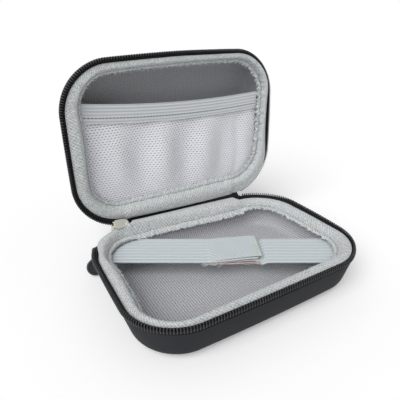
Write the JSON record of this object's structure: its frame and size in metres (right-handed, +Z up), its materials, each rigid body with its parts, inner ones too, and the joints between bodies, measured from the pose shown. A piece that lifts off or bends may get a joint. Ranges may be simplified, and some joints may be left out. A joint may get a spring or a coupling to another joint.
{
  "type": "glucose meter case",
  "caption": "Hard zip-up clamshell case, standing open: rounded moulded halves on a cloth hinge, knit binding, elastic strap in the tray and a mesh pocket in the lid.",
  "frame": {"origin": "centre of the base's flat underside", "axes": "+X along the hinge to the right, +Y from the front to the hinge, +Z up"},
  "size_m": [0.1214, 0.1066, 0.1066],
  "materials": {
    "cover": "matte fabric laminated on moulded foam",
    "lining": "brushed knit",
    "binding": "soft ribbed knit",
    "zip": "nylon coil and woven tape",
    "mesh": "perforated knit",
    "elastic": "ribbed woven elastic",
    "nickel": "dull nickel plate",
    "pull": "moulded, matte"
  },
  "bodies": {
    "base": {"base_shell": "cover", "base_lining": "lining", "base_binding": "binding", "base_zip_tape": "zip", "base_zip_teeth": "zip", "base_hinge_tape": "zip", "zip_end_stop": "zip", "strap_left": "elastic", "strap_right": "elastic"},
    "lid": {"lid_shell": "cover", "lid_lining": "lining", "lid_binding": "binding", "lid_zip_tape": "zip", "lid_zip_teeth": "zip", "lid_hinge_tape": "zip", "mesh_pocket": "mesh", "pocket_elastic": "elastic"},
    "slider": {"slider_body": "nickel"},
    "link": {"pull_link": "nickel"},
    "tab": {"pull_tab": "pull"}
  },
  "joints": [
    {"name": "lid_hinge", "type": "hinge", "parent": "base", "child": "lid", "pos_m": [0, 0.0428, 0.0205], "axis": [1, 0, 0], "range_deg": [-12, 90]},
    {"name": "slider_lean", "type": "hinge", "parent": "base", "child": "slider", "pos_m": [0, 0.0428, 0.0205], "axis": [1, 0, 0], "range_deg": [-6, 45]},
    {"name": "link_lift", "type": "hinge", "parent": "slider", "child": "link", "pos_m": [-0.04076, 0.04524, 0.01806], "axis": [0.9807, 0.1381, -0.1381], "range_deg": [-2, 110]},
    {"name": "tab_swing", "type": "hinge", "parent": "link", "child": "tab", "pos_m": [-0.04469, 0.04308, 0.01454], "axis": [0.0126, 0.8464, -0.5324], "range_deg": [-3, 40]}
  ],
  "couplings": [
    {"joint": "slider_lean", "follows": "lid_hinge", "ratio": 0.5}
  ]
}
